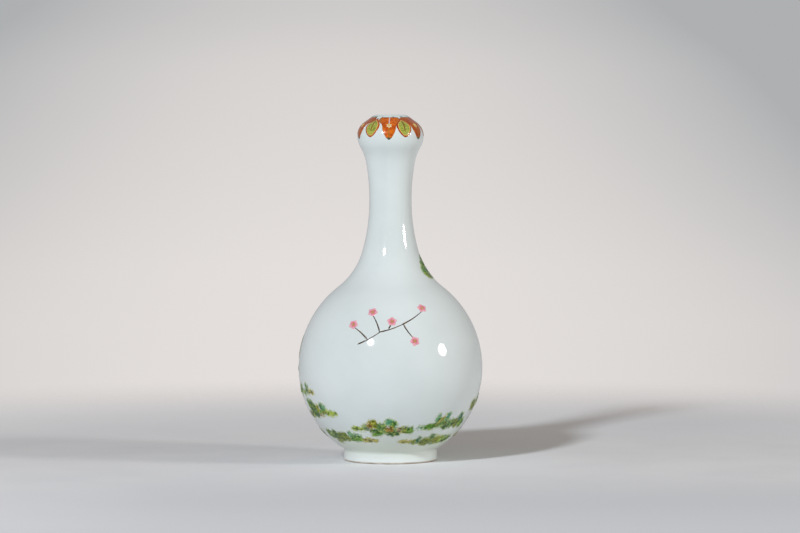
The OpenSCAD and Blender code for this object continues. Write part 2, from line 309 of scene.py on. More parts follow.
fillet_x = FOOT_R + CREASE_ROUND
fillet_drop = math.sqrt((LOWER_BELLY_ARC + CREASE_ROUND) ** 2 - (fillet_x - lower_belly.x) ** 2)
fillet = Vector((fillet_x, BELLY_Z - fillet_drop))
glaze_edge = Vector((FOOT_R - GLAZE, BARE_HEIGHT + GLAZE))
outer_runs = [
    (glaze_edge, Vector((FOOT_R, glaze_edge.y))),
    (None, Vector((FOOT_R, fillet.y))),
    (fillet, lower_belly + LOWER_BELLY_ARC * (fillet - lower_belly).normalized()),
    *wall_runs(0),
    (None, lip + LIP_ARC * facing(math.pi / 2 - HEAD_SLOPE - lip_lean)),
    (lip, lip + LIP_ARC * facing(math.pi / 2)),
    (lip, lip + LIP_ARC * facing(LIP_TURN_IN)),
]
outer = bmesh.new()
draw_runs(outer, Vector((FOOT_R - GLAZE, BARE_HEIGHT)), outer_runs)
profile = np.array([(vert.co.x, vert.co.z) for vert in outer.verts])
turn_on_wheel(outer, COAT)
white_glaze = glaze_material("white_glaze", CREASE_POOL)
finish_piece(outer, "outer_glaze_coat", white_glaze, "clear_glaze", "outer_glaze")

# The inner glaze was poured in and swilled round, so it covers the floor and the wall up to the
# lip, where it runs into the outer coat.
FLOOR_Z = 8.0 * MM
FLOOR_ROUND = 4 * MM
FLOOR_POOL = (6 * MM, 8 * MM, 30 * MM)

floor_x = lower_belly.x + math.sqrt((LOWER_BELLY_ARC - WALL - FLOOR_ROUND) ** 2
                                    - (BELLY_Z - FLOOR_Z - FLOOR_ROUND) ** 2)
floor_fillet = Vector((floor_x, FLOOR_Z + FLOOR_ROUND))
inner_runs = [
    (None, Vector((floor_x, FLOOR_Z))),
    (floor_fillet, lower_belly + (LOWER_BELLY_ARC - WALL) * (floor_fillet - lower_belly).normalized()),
    *wall_runs(WALL),
    (None, lip + LIP_ARC * facing(3 * math.pi / 2 - HEAD_SLOPE + lip_lean)),
    (lip, lip + LIP_ARC * facing(LIP_TURN_IN)),
]
inner = bmesh.new()
draw_runs(inner, Vector((0, FLOOR_Z)), inner_runs, longest=4 * MM)
turn_on_wheel(inner, COAT)
inside_glaze = glaze_material("inside_glaze", FLOOR_POOL)
finish_piece(inner, "inner_glaze_coat", inside_glaze, "clear_glaze", "inner_glaze")

# The base glaze lies in the recess under the vase and down the inner face of the foot. It stops
# short of the rim, which stands on the kiln shelf, and its middle is left plain.
FOOT_W = 3.6 * MM
FOOT_IN_R = FOOT_R - FOOT_W
RECESS_Z = 4.2 * MM
RECESS_ROUND = 1.2 * MM
RECESS_POOL = (2.6 * MM, 3.6 * MM, 5 * MM)

recess_fillet = Vector((FOOT_IN_R - RECESS_ROUND, RECESS_Z - RECESS_ROUND))
base_runs = [
    (None, Vector((recess_fillet.x, RECESS_Z))),
    (recess_fillet, Vector((FOOT_IN_R, recess_fillet.y))),
    (None, Vector((FOOT_IN_R, BARE_HEIGHT))),
]
base = bmesh.new()
draw_runs(base, Vector((0, RECESS_Z)), base_runs)
turn_on_wheel(base, COAT)
base_glaze = glaze_material("base_glaze", RECESS_POOL)
finish_piece(base, "base_glaze_coat", base_glaze, "clear_glaze", "base_glaze")

# A line of turquoise enamel is drawn round the head just under the lip, with a loaded brush that
# leaves it darker where the strokes overlap. It is fired on top of the glaze, like all the painting.
LIP_LINE_LOW = 199.0 * MM
LIP_LINE_TOP = 199.45 * MM
ENAMEL = 0.16 * MM
# Swell of the line: share of its width, and lift in thicknesses of enamel
LIP_LINE_SWELL = [(0, -0.3), (0.25, 0.5), (0.5, 0.7), (0.75, 0.5), (1, -0.3)]

crest = int(np.argmax(profile[:, 1])) + 1
radii, heights = profile[:crest].T
steps = np.hypot(np.diff(radii), np.diff(heights))
reaches = np.concatenate(([0], np.cumsum(steps)))
leans = np.arctan2(-np.gradient(radii, reaches), np.gradient(heights, reaches))


def reach_at(height):
    """Way up along the outline, from the edge of the glaze at the foot, to a height."""
    return float(np.interp(height, heights, reaches))


def radius_at(reach):
    return float(np.interp(reach, reaches, radii))


def over_glaze(turn, reach, lift):
    """Place at a turn from the front and a way up the outline, lifted off the glaze."""
    lean = np.interp(reach, reaches, leans)
    radius = radius_at(reach) + lift * math.cos(lean)
    height = np.interp(reach, reaches, heights) + lift * math.sin(lean)
    return Vector((radius * math.sin(turn), -radius * math.cos(turn), height))


def enamel_material(name, paint, cover=None):
    """Glassy enamel; paint makes its colour from the object place, the way across and the way along,
    and cover, if any, makes how far it hides the glaze."""
    material, tone = start_material(name)
    place = tone.node("TexCoord", out="Object")
    laid = tone.node("TexCoord", out="UV")
    across = tone.node("SeparateXYZ", (), {"Vector": laid}, out="X")
    along = tone.node("SeparateXYZ", (), {"Vector": laid}, out="Y")
    ripple = tone.noise(place, 0.8 * MM)
    bumps = tone.node("Bump", (), {"Strength": 0.25, "Distance": 0.08 * MM, "Height": ripple})
    end_material(tone, {
        "Base Color": paint(tone, place, across, along),
        "Roughness": 0.12 + 0.14 * ripple,
        "IOR": 1.42,
        "Alpha": cover(tone, place) if cover else 1,
        "Normal": bumps,
    })
    return material


def lip_paint(tone, place, across, along):
    strokes = tone.noise(place, 2.6 * MM, 1)
    return strokes.ease(0.46, 0.62).blend(srgb(186, 212, 205), srgb(74, 104, 92))


lip_line = bmesh.new()
line_low = reach_at(LIP_LINE_LOW)
line_top = reach_at(LIP_LINE_TOP)
for share, lift in LIP_LINE_SWELL:
    lip_line.verts.new(over_glaze(0, line_low + share * (line_top - line_low), lift * ENAMEL))
lip_line.verts.ensure_lookup_table()
for low, high in zip(lip_line.verts[:-1], lip_line.verts[1:]):
    lip_line.edges.new((low, high))
turn_on_wheel(lip_line, ENAMEL / 2)
lip_enamel = enamel_material("lip_enamel", lip_paint)
finish_piece(lip_line, "lip_line_enamel", lip_enamel, "turquoise_enamel", "lip_line")

# Six red petals hang from the lip down over the head, each with two lobes at the top and a tongue
# that ends in a dark point. They are iron red and orange enamel with a pale line down the middle.
PETALS = 6
PETAL_STEP = 2 * math.pi / PETALS
PETAL_TURN = math.radians(-2.5)
RED_TOP = 199.0 * MM
RED_TIP = 186.0 * MM
RED_EDGE = [
    (0, 4.8), (0.12, 6.3), (0.2, 6.8), (0.28, 6.3), (0.36, 5.1), (0.44, 4.3), (0.54, 4.15), (0.67, 3.8),
    (0.82, 2.7), (0.93, 1.5), (1, 0),
]
# Each petal: degrees that the painter strayed from an even spacing, and strength of its pale line;
# where the line is faint, the petal is darkened with painted shade
RED_PETALS = [(0, 0.9), (0, 0.2), (0, 0.5), (-2, 0.7), (-5, 0.4), (-9, 0.2)]
ROSETTE_ALONG = 7.8
DOWN = math.pi
# Cells of a petal's mesh along and across, and share of its lift that an edge sinks into the glaze
PETAL_CELLS = (30, 16)
EDGE_SINK = 0.15


def drawn_through(points):
    """Half width in metres along a shape, smooth through (share, millimetres) points."""
    shares, widths = np.array(points).T
    slopes = np.gradient(widths, shares)

    def half_width(share):
        part = min(max(int(np.searchsorted(shares, share)) - 1, 0), len(shares) - 2)
        step = shares[part + 1] - shares[part]
        t = (share - shares[part]) / step
        rise = (1 + 2 * t) * widths[part] + t * step * slopes[part]
        fall = (3 - 2 * t) * widths[part + 1] - (1 - t) * step * slopes[part + 1]
        return max((1 - t) ** 2 * rise + t ** 2 * fall, 0) * MM

    return half_width


def start_enamel():
    bm = bmesh.new()
    bm.verts.layers.float.new("rim")
    bm.verts.layers.float_color.new("tint")
    bm.loops.layers.uv.new("laid")
    return bm


def lay_enamel(bm, turn, reach, aim, length, half_width, cells, tint=(1, 1, 1, 1), bow=0,
               lift=ENAMEL, edge=2 * ENAMEL, over=0):
    """Lay a touch of enamel from a root on the glaze, aimed clockwise from straight up, and note in
    millimetres its way across and along as UV and its distance from the edge as rim. It rises to
    its full lift over the width of its edge, and lies over the glaze or over other enamel. Ends
    without width are merged to a point."""
    rim_note = bm.verts.layers.float["rim"]
    tint_note = bm.verts.layers.float_color["tint"]
    laid = bm.loops.layers.uv["laid"]
    rows, columns = cells
    grid = bmesh.ops.create_grid(bm, x_segments=columns, y_segments=rows, size=1)
    for vert in grid["verts"]:
        side = vert.co.x
        share = (vert.co.y + 1) / 2
        half = half_width(share)
        across = side * half
        along = share * length
        drift = across + bow * math.sin(math.pi * share)
        right = drift * math.cos(aim) + along * math.sin(aim)
        up = along * math.cos(aim) - drift * math.sin(aim)
        rim = min((1 - abs(side)) * half, along, length - along)
        swell = lift * min(rim / edge, 1) ** 0.5 - EDGE_SINK * lift + over
        here = reach + up
        vert.co = over_glaze(turn + right / radius_at(here), here, swell)
        vert[rim_note] = rim / MM
        vert[tint_note] = tint
        for loop in vert.link_loops:
            loop[laid].uv = (across / MM, along / MM)
    bmesh.ops.remove_doubles(bm, verts=grid["verts"], dist=SAME_PLACE)


def close_enamel(bm, name, material, slot, *nodes, thickness=ENAMEL / 2, shades=True):
    """Finish a piece of enamel and give it an underside. A clear wash doesn't shade the glaze."""
    piece = finish_piece(bm, name, material, slot, *nodes)
    sheet = piece.modifiers.new("underside", "SOLIDIFY")
    sheet.thickness = thickness
    sheet.offset = -1
    piece.visible_shadow = shades
    piece.visible_diffuse = shades


def red_paint(tone, place, across, along):
    rim = tone.node("Attribute", {"attribute_name": "rim"}, out="Fac")
    wash = tone.noise(place, 1.5 * MM, 3)
    off_middle = abs(across)
    above = along.ease(ROSETTE_ALONG, ROSETTE_ALONG - 1)
    below = along.ease(ROSETTE_ALONG, ROSETTE_ALONG + 1)
    body = wash.ease(0.35, 0.65).blend(srgb(214, 106, 4), srgb(172, 72, 0))
    lobe_end = off_middle.ease(3.6, 5.4) * above
    body = (lobe_end * 0.7).blend(body, srgb(168, 104, 36))
    body = (along.ease(1.3, 0.2) * 0.7).blend(body, srgb(122, 64, 26))
    body = (rim.ease(0.5, 0.15) * below * 0.8).blend(body, srgb(204, 146, 84))
    body = (rim.ease(0.7, 0.1) * above * 0.5).blend(body, srgb(132, 62, 18))
    strength = tone.node("Attribute", {"attribute_name": "tint"}, out="Fac")
    # Painted shade: petals with a faint pale line are darkened
    body = (strength.ease(0.5, 0.2) * 0.45).blend(body, srgb(120, 48, 0))
    pale_line = off_middle.ease(0.42, 0.15) * above * strength
    body = pale_line.blend(body, srgb(208, 196, 198))
    stalk = off_middle.ease(0.4, 0.15) * below
    body = (stalk * 0.8).blend(body, srgb(140, 106, 44))
    return along.ease(14.7, 15.7).blend(body, srgb(70, 78, 58))


red_petals = start_enamel()
red_top = reach_at(RED_TOP)
red_length = red_top - reach_at(RED_TIP)
for index, (stray, line) in enumerate(RED_PETALS):
    turn = PETAL_TURN + index * PETAL_STEP + math.radians(stray)
    tint = (line, line, line, 1)
    lay_enamel(red_petals, turn, red_top, DOWN, red_length, drawn_through(RED_EDGE), PETAL_CELLS, tint)
red_enamel = enamel_material("iron_red_enamel", red_paint)
close_enamel(red_petals, "red_petal_enamel", red_enamel, "red_enamel", "red_petals")

# Each red petal carries a small rosette of six lobes in pale yellow enamel. It is dabbed on thick
# over the red with the tip of a brush, and is duller on petals whose pale line is faint.
ROSETTE_LOBES = 6
ROSETTE_LOBE_L = 1.7 * MM
ROSETTE_LOBE_W = 1.0 * MM
ROSETTE_CELLS = (6, 4)
ROSETTE_PALE = srgb(232, 224, 180)
ROSETTE_DULL = srgb(206, 176, 104)


def rosette_paint(tone, place, across, along):
    tint = tone.node("Attribute", {"attribute_name": "tint"}, out="Color")
    return along.ease(1.3, 0.3).blend(tint, srgb(206, 172, 92))


def rounded(width):
    """Half width along an oval touch with a full middle."""
    return lambda share: width / 2 * math.sin(math.pi * share ** 0.85) ** 0.6 if 0 < share < 1 else 0


rosettes = start_enamel()
for index, (stray, line) in enumerate(RED_PETALS):
    turn = PETAL_TURN + index * PETAL_STEP + math.radians(stray)
    middle = red_top - ROSETTE_ALONG * MM
    tint = ROSETTE_PALE if line > 0.5 else ROSETTE_DULL
    for lobe in range(ROSETTE_LOBES):
        aim = 2 * math.pi * lobe / ROSETTE_LOBES
        lay_enamel(rosettes, turn, middle, aim, ROSETTE_LOBE_L, rounded(ROSETTE_LOBE_W), ROSETTE_CELLS,
                   tint, over=ENAMEL)
pale_enamel = enamel_material("pale_yellow_enamel", rosette_paint)
close_enamel(rosettes, "petal_rosettes", pale_enamel, "red_enamel")

# Six green petals fill the gaps between the red ones. Each is olive enamel flecked with darker
# green, with a brown rib, inside an ochre line and a broad iron red outline.
GREEN_TOP = 198.4 * MM
GREEN_TIP = 187.5 * MM
GREEN_EDGE = [
    (0, 0.4), (0.14, 1.2), (0.27, 2.8), (0.42, 4.4), (0.55, 4.8), (0.7, 4.4), (0.84, 3.2), (0.94, 1.8),
    (1, 0.3),
]
# Degrees that each petal strays from an even spacing
GREEN_STRAY = [0, 2, -2, -3, -7, -5]


def green_paint(tone, place, across, along):
    rim = tone.node("Attribute", {"attribute_name": "rim"}, out="Fac")
    flecks = tone.noise(place, 0.8 * MM, 2)
    wash = tone.noise(place, 2.5 * MM, 2)
    body = wash.ease(0.3, 0.7).blend(srgb(176, 180, 82), srgb(152, 160, 60))
    body = (flecks.ease(0.5, 0.6) * 0.85).blend(body, srgb(88, 114, 30))
    rib = abs(across).ease(0.55, 0.2) * along.ease(11, 9.5)
    body = (rib * 0.9).blend(body, srgb(116, 60, 22))
    body = rim.ease(1.7, 1.4).blend(body, srgb(216, 182, 96))
    outline = across.ease(-1.5, 1.5).blend(srgb(174, 84, 16), srgb(152, 52, 14))
    return rim.ease(1.25, 0.95).blend(body, outline)


green_petals = start_enamel()
green_top = reach_at(GREEN_TOP)
green_length = green_top - reach_at(GREEN_TIP)
for index, stray in enumerate(GREEN_STRAY):
    turn = PETAL_TURN + (index + 0.5) * PETAL_STEP + math.radians(stray)
    lay_enamel(green_petals, turn, green_top, DOWN, green_length, drawn_through(GREEN_EDGE), PETAL_CELLS)
green_enamel = enamel_material("olive_enamel", green_paint)
close_enamel(green_petals, "green_petal_enamel", green_enamel, "green_enamel", "green_petals")

# Tufts of moss lie round the lower belly, and one on the shoulder. Each is built up from soft washes
# of green, ochre and brown enamel that run into each other and into the glaze, under many short
# touches of a fine brush.
MOSS_TINTS = {
    "haze": srgb(156, 188, 162),
    "yellow": srgb(156, 178, 72),
    "leaf": srgb(84, 140, 38),
    "moss": srgb(96, 136, 70),
    "dark": srgb(48, 100, 38),
    "teal": srgb(84, 154, 118),
    "sea": srgb(54, 114, 86),
    "grey": srgb(104, 132, 106),
    "olive": srgb(112, 126, 40),
    "ochre": srgb(174, 160, 80),
    "gold": srgb(146, 146, 24),
    "brown": srgb(158, 98, 24),
    "pink": srgb(172, 146, 114),
}
# Each wash: tint, lean of its touches in degrees, right and up from the middle of the tuft, and half
# its length along the lean and half its width, in millimetres
LEFT_LIMB = [
    ("grey", 0, 6.5, 1, 2.2, 2.2), ("teal", 0, 5.5, 2.8, 1, 1.2), ("moss", 10, 2, -1, 1.4, 1.6),
    ("ochre", 90, 11.5, -0.4, 3, 0.8), ("moss", -15, -3, 0.5, 2.4, 2), ("leaf", 0, -6.5, -0.5, 2, 2.4),
    ("yellow", 90, -10, -1, 3, 1.1),
]
LEFT = [
    ("moss", 0, -7, 1, 3.2, 4.4), ("olive", 90, -12, -3, 4.2, 1.8), ("leaf", 0, -11, 4, 2.4, 2.4),
    ("dark", -10, -7.5, 3.5, 2.2, 1.6), ("dark", 0, -6, 0, 2.8, 4), ("dark", 80, -4, -2.6, 2.4, 1.3),
    ("gold", 5, -0.5, 1, 2.6, 1.2), ("teal", 0, 5, 2.4, 1.4, 1.3), ("sea", 0, 3, 2.6, 1.9, 1.4),
    ("leaf", 70, 2.5, -0.2, 2.6, 1.1), ("pink", 90, 0.5, -2.7, 1.4, 0.8), ("olive", 90, 5, -1.1, 2.2, 1.2),
    ("yellow", 90, 10.5, -0.7, 4.2, 1.4),
]
LOW_LEFT = [
    ("dark", -20, -9.5, 0, 2.8, 2.6), ("moss", -10, -11.5, 0.5, 2.6, 1.5), ("moss", -15, -8.5, 0, 2.2, 1.2),
    ("dark", -20, -5, 0.2, 3.1, 2.4), ("olive", 60, -4, -4, 3, 1.8), ("olive", 0, 1, -1, 3.2, 3.9),
    ("haze", 90, 11, 0.8, 2.8, 1.3), ("teal", -15, 7.5, 1.3, 2.2, 1.3), ("leaf", 80, 9.7, -1.8, 3.9, 2.4),
    ("ochre", 90, 17.3, -2.9, 5, 1.5),
]
MIDDLE = [
    ("yellow", 90, -15, -1.4, 4.2, 1.2), ("grey", 0, -10, -0.3, 2, 1.8), ("gold", 0, -6, 2.2, 2.8, 2.5),
    ("dark", 90, -4.7, -2.8, 3.2, 1.4), ("leaf", 80, -3.6, -4.8, 3.3, 1.3), ("moss", 0, -1, 0, 2.8, 2.6),
    ("teal", 20, 3.7, 3.3, 2, 2.4), ("leaf", 0, 5.8, 1.8, 2.2, 1.6), ("moss", 90, 4, -2.6, 4, 1.8),
    ("dark", 90, 5, -4.6, 3.2, 1.6), ("pink", 0, 9, -1.8, 1.6, 1.2), ("olive", 0, 12.2, -1.8, 2.2, 2.2),
    ("leaf", 0, 15, -1.8, 2, 1.8), ("brown", 0, -8, 1, 1.6, 1), ("brown", 0, 3.3, -1.2, 1.6, 1.8),
]
UPPER_RIGHT = [
    ("haze", 80, -17.5, -2.7, 2.6, 1.2), ("leaf", 80, -11.7, -2.3, 4.2, 1.8),
    ("moss", 20, -4.6, 0.2, 3, 2.6), ("teal", 10, -9, 3.3, 2.2, 1.3), ("dark", 20, -8, 0.8, 2.4, 1.5),
    ("dark", 0, -1.6, -2, 2.6, 1.6), ("ochre", 38, -6.5, 1.9, 3.8, 0.6), ("teal", 20, -2, 3.9, 2.6, 1.2),
    ("moss", 0, 2.2, -1.2, 3, 2.8), ("olive", 20, 8, -0.9, 3, 3.4), ("sea", 15, 10.4, 2.8, 2.2, 1.8),
    ("leaf", 20, 13, -1.2, 2.6, 3),
]
LOW_RIGHT = [
    ("ochre", 90, -18, -1.2, 3.8, 1.1), ("olive", 80, -13, -1.8, 1.9, 1.4), ("sea", 15, -11, -0.3, 2.6, 1.2),
    ("olive", 70, 0, -1, 6.4, 2.2), ("olive", 30, -5.2, -1.8, 3.2, 3.4), ("moss", 30, -2.8, 2.2, 2, 1.7),
    ("grey", 60, 0, -3.2, 1.8, 1.5), ("leaf", 50, 6.4, -0.6, 3.4, 2.4), ("gold", 30, 2.2, -1, 2.4, 2.2),
    ("yellow", 20, 6, -0.5, 2, 1.6), ("moss", 50, 10.4, -0.6, 3.6, 2), ("dark", 55, 11.4, -1, 3.6, 1.1),
]
RIGHT_LIMB = [
    ("olive", 0, -9, -2.5, 3, 3.6), ("dark", 0, -2, 0.5, 2.6, 1.8), ("leaf", 0, 2.5, -1, 2.2, 2.4),
    ("yellow", 90, 6, -2, 3, 1.1),
]
SHOULDER = [
    ("leaf", -20, -4.4, -1.2, 3.2, 2.6), ("dark", 0, 2, 0, 5.4, 5.2), ("moss", 0, -2.6, 2.8, 3, 2),
    ("dark", 0, 0.4, 6.4, 2.8, 2), ("olive", -60, -3, -3.6, 2.8, 1.4), ("dark", 10, 7, 1, 4, 3.6),
    ("yellow", 80, 11.5, -1.8, 4, 1.3),
]
# Each tuft: turn in degrees, height of its middle, its washes, and -1 where they run the other way
TUFTS = [
    (-74, 41.9, LEFT_LIMB, 1), (-57, 30.9, LEFT, 1), (-45, 16.9, LOW_LEFT, 1), (-5, 22.9, MIDDLE, 1),
    (42, 14.9, LOW_RIGHT, 1), (47, 24.9, UPPER_RIGHT, 1), (84, 35.9, RIGHT_LIMB, 1),
    (80, 110.6, SHOULDER, 1), (106, 17.9, LOW_LEFT, -1), (116, 26.9, LEFT, -1), (152, 15.9, MIDDLE, -1),
    (179, 23.9, UPPER_RIGHT, -1), (208, 15.9, LOW_RIGHT, -1), (238, 19.9, LEFT, 1),
    (262, 16.9, LOW_RIGHT, 1),
]
WASH_LIFT = 0.5 * ENAMEL
WASH_STEP = 0.025 * ENAMEL
WASH_EDGE = 2.1 * MM
# Washes and touches reach down into the glaze, so that their undersides don't show through them
WASH_THICK = 1.2 * ENAMEL
TOUCH_THICK = 2 * ENAMEL
WASH_CELLS = (12, 8)
TOUCH_CELLS = (4, 2)
TOUCHES_PER_MM2 = 0.5
TOUCH_LENGTHS = (1.3 * MM, 2.8 * MM)
TOUCH_W = 1.0 * MM
TOUCH_LEAN = math.radians(30)
TOUCH_FAN = math.radians(25)
# Way out from the middle of a wash, in half lengths or widths, that touches reach and outer ones begin
TOUCH_REACH = 1.2
OUTER_FROM = 0.8
# Shades of a touch against its wash, and how far it is mixed with pale yellow
INNER_SHADES = [(0.18, 0), (0.3, 0), (0.6, 0), (1, 0.25), (1, 0.7)]
OUTER_SHADES = [(0.55, 0), (0.85, 0.1), (1, 0.35), (1, 0.7)]
PALE_YELLOW = srgb(198, 208, 108)
brush = random.Random(7)


def oval(width):
    return lambda share: width / 2 * math.sqrt(max(1 - (2 * share - 1) ** 2, 0))


def pointed(width):
    """Half width along a brush touch with two pointed ends."""
    return lambda share: width / 2 * math.sin(math.pi * share) ** 0.8 if 0 < share < 1 else 0


def lay_about(bm, turn, reach, right, up, lean, length, *shape, **options):
    """Lay a touch of enamel about its middle, which lies right and up of a place on the glaze."""
    root = reach + up - length / 2 * math.cos(lean)
    shift = right - length / 2 * math.sin(lean)
    lay_enamel(bm, turn + shift / radius_at(reach + up), root, lean, length, *shape, **options)


def paint_moss(turn, reach, hand, over, tint, lean, right, up, half_length, half_width):
    """Lay one wash of a tuft and cover it with touches, dark inside and pale where it runs out."""
    lean = math.radians(hand * lean)
    length = 2 * (half_length * MM + WASH_EDGE)
    width = 2 * (half_width * MM + WASH_EDGE)
    lay_about(washes, turn, reach, hand * right * MM, up * MM, lean, length, oval(width),
              WASH_CELLS, MOSS_TINTS[tint], lift=WASH_LIFT, edge=WASH_EDGE, over=over)
    for _ in range(round(TOUCHES_PER_MM2 * math.pi * half_length * half_width)):
        out = TOUCH_REACH * math.sqrt(brush.random())
        spin = brush.uniform(0, 2 * math.pi)
        along = out * half_length * math.cos(spin)
        across = out * half_width * math.sin(spin)
        x = hand * right + along * math.sin(lean) + across * math.cos(lean)
        y = up + along * math.cos(lean) - across * math.sin(lean)
        shade, paling = brush.choice(OUTER_SHADES if out > OUTER_FROM else INNER_SHADES)
        mixed = [shade * (own + paling * (pale - own)) for own, pale in zip(MOSS_TINTS[tint], PALE_YELLOW)]
        touch_lean = lean + TOUCH_FAN * across / half_width + TOUCH_LEAN * brush.uniform(-1, 1)
        lay_about(touches, turn, reach, x * MM, y * MM, touch_lean, brush.uniform(*TOUCH_LENGTHS),
                  pointed(TOUCH_W), TOUCH_CELLS, mixed, over=WASH_LIFT + over)


def wash_paint(tone, place, across, along):
    tint = tone.node("Attribute", {"attribute_name": "tint"}, out="Color")
    rim = tone.node("Attribute", {"attribute_name": "rim"}, out="Fac")
    mottle = tone.noise(place, 1.8 * MM, 3)
    body = (rim.ease(2.4, 0.6) * 0.6).blend(tint, PALE_YELLOW)
    body = (mottle.ease(0.46, 0.36) * 0.35).blend(body, PALE_YELLOW)
    return (mottle.ease(0.5, 0.6) * rim.ease(1.2, 2.4) * 0.85).blend(body, srgb(34, 78, 16))


def wash_cover(tone, place):
    rim = tone.node("Attribute", {"attribute_name": "rim"}, out="Fac")
    ragged = rim + 5 * (tone.noise(place, 2.2 * MM, 4) - 0.5)
    return ragged.ease(0.1, 2.9)


def touch_paint(tone, place, across, along):
    tint = tone.node("Attribute", {"attribute_name": "tint"}, out="Color")
    wash = tone.noise(place, 0.6 * MM, 2)
    return (wash.ease(0.5, 0.75) * 0.2).blend(tint, PALE_YELLOW)


def touch_cover(tone, place):
    return tone.node("Attribute", {"attribute_name": "rim"}, out="Fac").ease(0, 0.45) * 0.85


washes = start_enamel()
touches = start_enamel()
for turn, height, tuft, hand in TUFTS:
    for order, wash in enumerate(tuft):
        paint_moss(math.radians(turn), reach_at(height * MM), hand, order * WASH_STEP, *wash)
moss_wash = enamel_material("moss_wash_enamel", wash_paint, wash_cover)
close_enamel(washes, "moss_tuft_enamel", moss_wash, "moss_enamel", "moss_tufts",
             thickness=WASH_THICK, shades=False)
moss_touch = enamel_material("moss_touch_enamel", touch_paint, touch_cover)
close_enamel(touches, "moss_brush_touches", moss_touch, "moss_enamel", thickness=TOUCH_THICK, shades=False)

# Sprays of leaves climb the side and back of the belly, and one bends round the shoulder. Each leaf
# is painted in two greens on either side of a pale rib, on a thin brown stem.
LEAF_L = 13 * MM
LEAF_W = 3 * MM
STEM_W = 1.0 * MM
LEAF_SPREAD = math.radians(48)
LEAF_CELLS = (12, 6)
STEM_CELLS = (6, 2)
# Shares of the full length of a leaf, millimetres that it bows aside, and how far stretches of stem lap
LEAF_SHARES = (0.85, 1.0)
LEAF_BOWS = (0.2, 0.8)
STEM_LAP = 1.08
# Each spray: turn in degrees and rise over the widest place, of root and tip, and leaves
SPRAYS = [(152, -30, 120, 41, 11), (200, 40, 150, 56, 7), (216, -28, 276, 10, 7)]


def leaf_width(share):
    return LEAF_W / 2 * math.sin(math.pi * share ** 0.8) ** 0.9 if 0 < share < 1 else 0


def leaf_paint(tone, place, across, along):
    rim = tone.node("Attribute", {"attribute_name": "rim"}, out="Fac")
    wash = tone.noise(place, 3 * MM, 2)
    body = wash.ease(0.3, 0.7).blend(srgb(104, 134, 54), srgb(76, 112, 56))
    shaded = across.ease(-0.05, 0.05)
    body = (shaded * 0.5).blend(body, srgb(58, 90, 44))
    body = abs(across).ease(0.16, 0.06).blend(body, srgb(168, 176, 96))
    return (rim.ease(0.3, 0.1) * 0.6).blend(body, srgb(54, 70, 36))


def stem_paint(tone, place, across, along):
    wash = tone.noise(place, 2 * MM, 2)
    return wash.ease(0.3, 0.7).blend(srgb(122, 104, 62), srgb(92, 84, 50))


leaves = start_enamel()
stems = start_enamel()
for root_turn, root_rise, tip_turn, tip_rise, count in SPRAYS:
    for index in range(count):
        share = (index + 0.5) / count
        turn = math.radians(root_turn + share * (tip_turn - root_turn))
        reach = reach_at(BELLY_Z + (root_rise + share * (tip_rise - root_rise)) * MM)
        step_right = BELLY_R * math.radians(tip_turn - root_turn) / count
        step_up = (reach_at(BELLY_Z + tip_rise * MM) - reach_at(BELLY_Z + root_rise * MM)) / count
        lean = math.atan2(step_right, step_up)
        stretch = math.hypot(step_right, step_up) * STEM_LAP
        start_turn = turn - math.sin(lean) * stretch / 2 / radius_at(reach)
        start_reach = reach - math.cos(lean) * stretch / 2
        lay_enamel(stems, start_turn, start_reach, lean, stretch, rounded(STEM_W), STEM_CELLS)
        side = -1 if index % 2 == 0 else 1
        length = LEAF_L * brush.uniform(*LEAF_SHARES)
        bow = side * brush.uniform(*LEAF_BOWS) * MM
        aim = lean + side * LEAF_SPREAD
        lay_enamel(leaves, turn, reach, aim, length, leaf_width, LEAF_CELLS, bow=bow)
leaf_enamel = enamel_material("leaf_enamel", leaf_paint)
close_enamel(leaves, "spray_leaves", leaf_enamel, "leaf_enamel", "leaf_spray")
stem_enamel = enamel_material("stem_enamel", stem_paint)
close_enamel(stems, "spray_stems", stem_enamel, "leaf_enamel")

# A small flowering twig is painted on the front of the belly, in thin black enamel that fires to a
# warm brown where the brush ran dry.
TWIG_Z = 79.6 * MM
TWIG_W = 1.1 * MM
TWIG_CELLS = (14, 2)
# Shares of a twig: width lost at its tip, length over which its ends are rounded, and bow
TWIG_TAPER = 0.55
TWIG_END = 1 / 12
TWIG_BOW = 0.04
# Each twig: right and up of its root and of its tip, in millimetres from the middle
TWIGS = [
    ((-19, -9), (-5, -1)), ((-7, -2), (8, 3)), ((6, 2), (18, 10)), ((-6, -2), (-10, 8)), ((7, 3), (14, -6)),
    ((-13, -6), (-21, 1)), ((-1, 0), (1, 4)),
]


def front_place(right, up):
    """Turn and reach of a place on the front, in millimetres from the middle of the twig."""
    reach = reach_at(TWIG_Z + up * MM)
    return math.asin(right * MM / radius_at(reach)), reach


def twig_width(share):
    blunt = min(1, share / TWIG_END, (1 - share) / TWIG_END)
    return TWIG_W / 2 * (1 - TWIG_TAPER * share) * blunt


def twig_paint(tone, place, across, along):
    dry = tone.noise(place, 1.4 * MM, 3)
    return dry.ease(0.42, 0.68).blend(srgb(58, 52, 46), srgb(122, 98, 74))


twig = start_enamel()
for (from_x, from_z), (to_x, to_z) in TWIGS:
    turn, reach = front_place(from_x, from_z)
    far_turn, far_reach = front_place(to_x, to_z)
    right = (far_turn - turn) * radius_at((reach + far_reach) / 2)
    aim = math.atan2(right, far_reach - reach)
    length = math.hypot(right, far_reach - reach)
    lay_enamel(twig, turn, reach, aim, length, twig_width, TWIG_CELLS, bow=TWIG_BOW * length)
black_enamel = enamel_material("black_enamel", twig_paint)
close_enamel(twig, "blossom_twig_enamel", black_enamel, "black_enamel", "blossom_twig")

